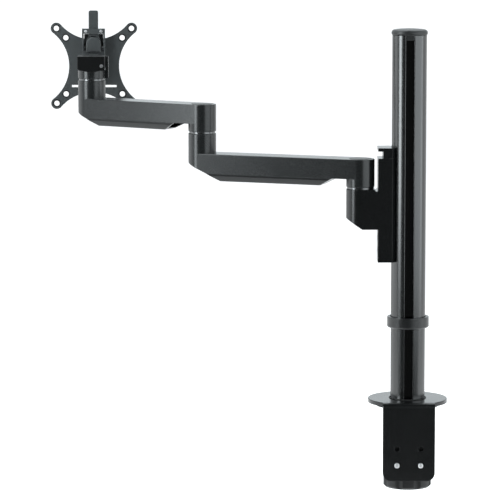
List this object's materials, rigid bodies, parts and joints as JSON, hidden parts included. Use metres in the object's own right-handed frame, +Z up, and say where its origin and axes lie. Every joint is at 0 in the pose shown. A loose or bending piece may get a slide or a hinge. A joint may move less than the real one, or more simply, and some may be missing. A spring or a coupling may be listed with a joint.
{
  "type": "monitor arm",
  "caption": "Desk-clamped pole with a height-adjustable double arm that swings level and carries a quick-release tilting, turning screen plate.",
  "frame": {"origin": "on the desk top at the pole's axis, on the underside of the clamp's rubber pad", "axes": "+Z up along the pole, +Y from the desk's back edge towards the person at the screen and out of the screen plate's front at rest, +X to the right seen from behind the desk"},
  "size_m": [0.5171, 0.2886, 0.595],
  "materials": {
    "powder_black": "satin powder coat",
    "anodised_black": "black anodised, glossy",
    "arm_paint": "satin powder coat, fine texture",
    "cover_paint": "satin moulded",
    "head_paint": "satin powder coat",
    "black_plastic": "fine moulded texture",
    "rubber": "matt",
    "zinc_steel": "bright zinc",
    "bright_washer": "polished",
    "bronze": "sintered bronze",
    "plug_metal": "turned"
  },
  "bodies": {
    "base": {"base_plate": "powder_black", "desk_pad": "rubber", "pole_bolt": "zinc_steel", "pole_foot_plug": "plug_metal", "pole": "anodised_black", "pole_cap": "black_plastic", "lower_jaw": "powder_black", "jaw_screws": "zinc_steel"},
    "foot_body": {"pressure_plate": "zinc_steel", "pressure_pad": "rubber"},
    "knob_body": {"clamp_spindle": "zinc_steel", "clamp_knob": "black_plastic"},
    "collar_body": {"stop_collar": "black_plastic", "collar_nut": "zinc_steel", "collar_screw": "zinc_steel"},
    "carrier_body": {"arm_carrier": "powder_black", "slot_rail": "zinc_steel", "carrier_screws": "zinc_steel", "shoulder_pin": "zinc_steel", "shoulder_washer": "bright_washer", "shoulder_nut": "zinc_steel"},
    "wedge_body": {"lock_wedge": "powder_black"},
    "lower_arm_body": {"lower_arm": "arm_paint", "lower_cable_cover": "cover_paint", "shoulder_bush": "bronze", "shoulder_cap": "black_plastic", "elbow_pin": "zinc_steel", "elbow_washer": "bright_washer", "elbow_nut": "zinc_steel"},
    "upper_arm_body": {"upper_arm": "arm_paint", "upper_cable_cover": "cover_paint", "elbow_bush": "bronze", "elbow_cap": "black_plastic", "head_pin": "zinc_steel", "head_washer": "bright_washer", "head_nut": "zinc_steel"},
    "swivel_body": {"head_swivel": "arm_paint", "head_bush": "bronze", "head_hood": "black_plastic", "tension_screw": "zinc_steel"},
    "tilt_body": {"tilt_bracket": "head_paint", "tilt_axle": "zinc_steel", "tilt_washers": "bright_washer", "turn_hub": "zinc_steel", "turn_washer": "bright_washer"},
    "screen_body": {"receiver_frame": "head_paint", "cross_bar": "head_paint", "bar_blocks": "head_paint", "bar_rivets": "zinc_steel", "lever_pin": "zinc_steel", "lever_springs": "zinc_steel", "screen_plate": "head_paint", "slide_block": "head_paint"},
    "lever_body": {"release_lever": "head_paint"}
  },
  "joints": [
    {"name": "clamp_travel", "type": "slide", "parent": "base", "child": "knob_body", "axis": [0, 0, 1], "range_m": [-0.043, 0]},
    {"name": "foot_swivel", "type": "hinge", "parent": "knob_body", "child": "foot_body", "pos_m": [0, -0.005, -0.025], "axis": [0, 0, 1], "continuous": true},
    {"name": "collar_height", "type": "slide", "parent": "base", "child": "collar_body", "axis": [0, 0, 1], "range_m": [-0.09, 0]},
    {"name": "carrier_height", "type": "slide", "parent": "base", "child": "carrier_body", "axis": [0, 0, 1], "range_m": [-0.07, 0.128]},
    {"name": "wedge_lift", "type": "slide", "parent": "carrier_body", "child": "wedge_body", "axis": [0, 0, 1], "range_m": [0, 0.012]},
    {"name": "shoulder_swing", "type": "hinge", "parent": "carrier_body", "child": "lower_arm_body", "pos_m": [-0.0613, 0, 0.2795], "axis": [0, 0, 1], "range_deg": [-70, 115]},
    {"name": "elbow_swing", "type": "hinge", "parent": "lower_arm_body", "child": "upper_arm_body", "pos_m": [-0.26255, 0.07846, 0.343], "axis": [0, 0, 1], "range_deg": [-105, 130]},
    {"name": "head_pan", "type": "hinge", "parent": "upper_arm_body", "child": "swivel_body", "pos_m": [-0.40897, 0.17246, 0.404], "axis": [0, 0, 1], "range_deg": [-40, 90]},
    {"name": "head_tilt", "type": "hinge", "parent": "swivel_body", "child": "tilt_body", "pos_m": [-0.40897, 0.20246, 0.417], "axis": [1, 0, 0], "range_deg": [-20, 25]},
    {"name": "plate_turn", "type": "hinge", "parent": "tilt_body", "child": "screen_body", "pos_m": [-0.40897, 0.23746, 0.416], "axis": [0, 1, 0], "range_deg": [-90, 90]},
    {"name": "lever_press", "type": "hinge", "parent": "screen_body", "child": "lever_body", "pos_m": [-0.40897, 0.22546, 0.4412], "axis": [-1, 0, 0], "range_deg": [0, 8], "stiffness_Nm_per_rad": 0.3, "springref_deg": -8.59}
  ]
}
